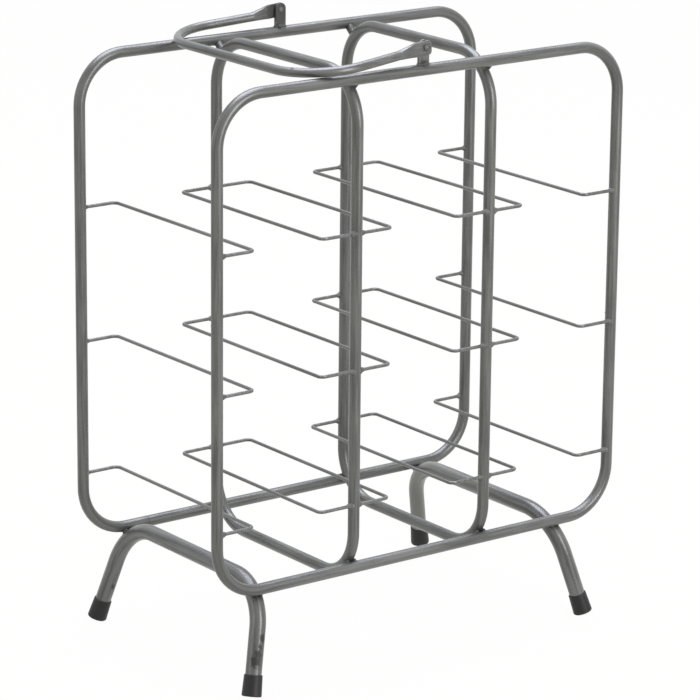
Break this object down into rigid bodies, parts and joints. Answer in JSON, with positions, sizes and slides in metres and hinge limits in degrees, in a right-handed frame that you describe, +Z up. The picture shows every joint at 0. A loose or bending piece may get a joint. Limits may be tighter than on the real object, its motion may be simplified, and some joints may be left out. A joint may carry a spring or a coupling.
{
  "type": "bottle rack",
  "caption": "Free-standing bottle rack of bent steel tube with wire bottle rests, splayed legs on rubber caps and a folding carrying handle.",
  "frame": {"origin": "on the floor, at the centre of the plan: midway between the two big loops and midway between their outer uprights", "axes": "+Z up, +X across the bottle columns to the right as seen from the front, +Y from the front loop to the back loop"},
  "size_m": [0.434, 0.2548, 0.5386],
  "materials": {
    "grey_paint": "satin warm-grey metallic paint",
    "grey_wire_paint": "satin warm-grey metallic paint on thin wire",
    "rivet_steel": "rivet with its grey paint worn to bare steel at the crown",
    "black_rubber": "moulded black rubber, slightly glossy"
  },
  "bodies": {
    "frame": {"front_loop": "grey_paint", "back_loop": "grey_paint", "divider_left": "grey_paint", "divider_right": "grey_paint", "leg_left": "grey_paint", "leg_right": "grey_paint", "wire_left_column_left_low": "grey_wire_paint", "wire_left_column_left_middle": "grey_wire_paint", "wire_left_column_left_high": "grey_wire_paint", "wire_left_column_right_low": "grey_wire_paint", "wire_left_column_right_middle": "grey_wire_paint", "wire_left_column_right_high": "grey_wire_paint", "wire_middle_column_left_low": "grey_wire_paint", "wire_middle_column_left_middle": "grey_wire_paint", "wire_middle_column_left_high": "grey_wire_paint", "wire_middle_column_right_low": "grey_wire_paint", "wire_middle_column_right_middle": "grey_wire_paint", "wire_middle_column_right_high": "grey_wire_paint", "wire_right_column_left_low": "grey_wire_paint", "wire_right_column_left_middle": "grey_wire_paint", "wire_right_column_left_high": "grey_wire_paint", "wire_right_column_right_low": "grey_wire_paint", "wire_right_column_right_middle": "grey_wire_paint", "wire_right_column_right_high": "grey_wire_paint", "handle_bracket_front": "grey_paint", "handle_bracket_back": "grey_paint", "handle_rivet_front": "rivet_steel", "handle_rivet_back": "rivet_steel", "foot_cap_front_left": "black_rubber", "foot_cap_front_right": "black_rubber", "foot_cap_back_left": "black_rubber", "foot_cap_back_right": "black_rubber"},
    "handle": {"carry_handle": "grey_paint"}
  },
  "joints": [
    {"name": "handle_fold", "type": "hinge", "parent": "frame", "child": "handle", "pos_m": [-0.003, 0, 0.53255], "axis": [0, 1, 0], "range_deg": [0, 191.1]}
  ]
}
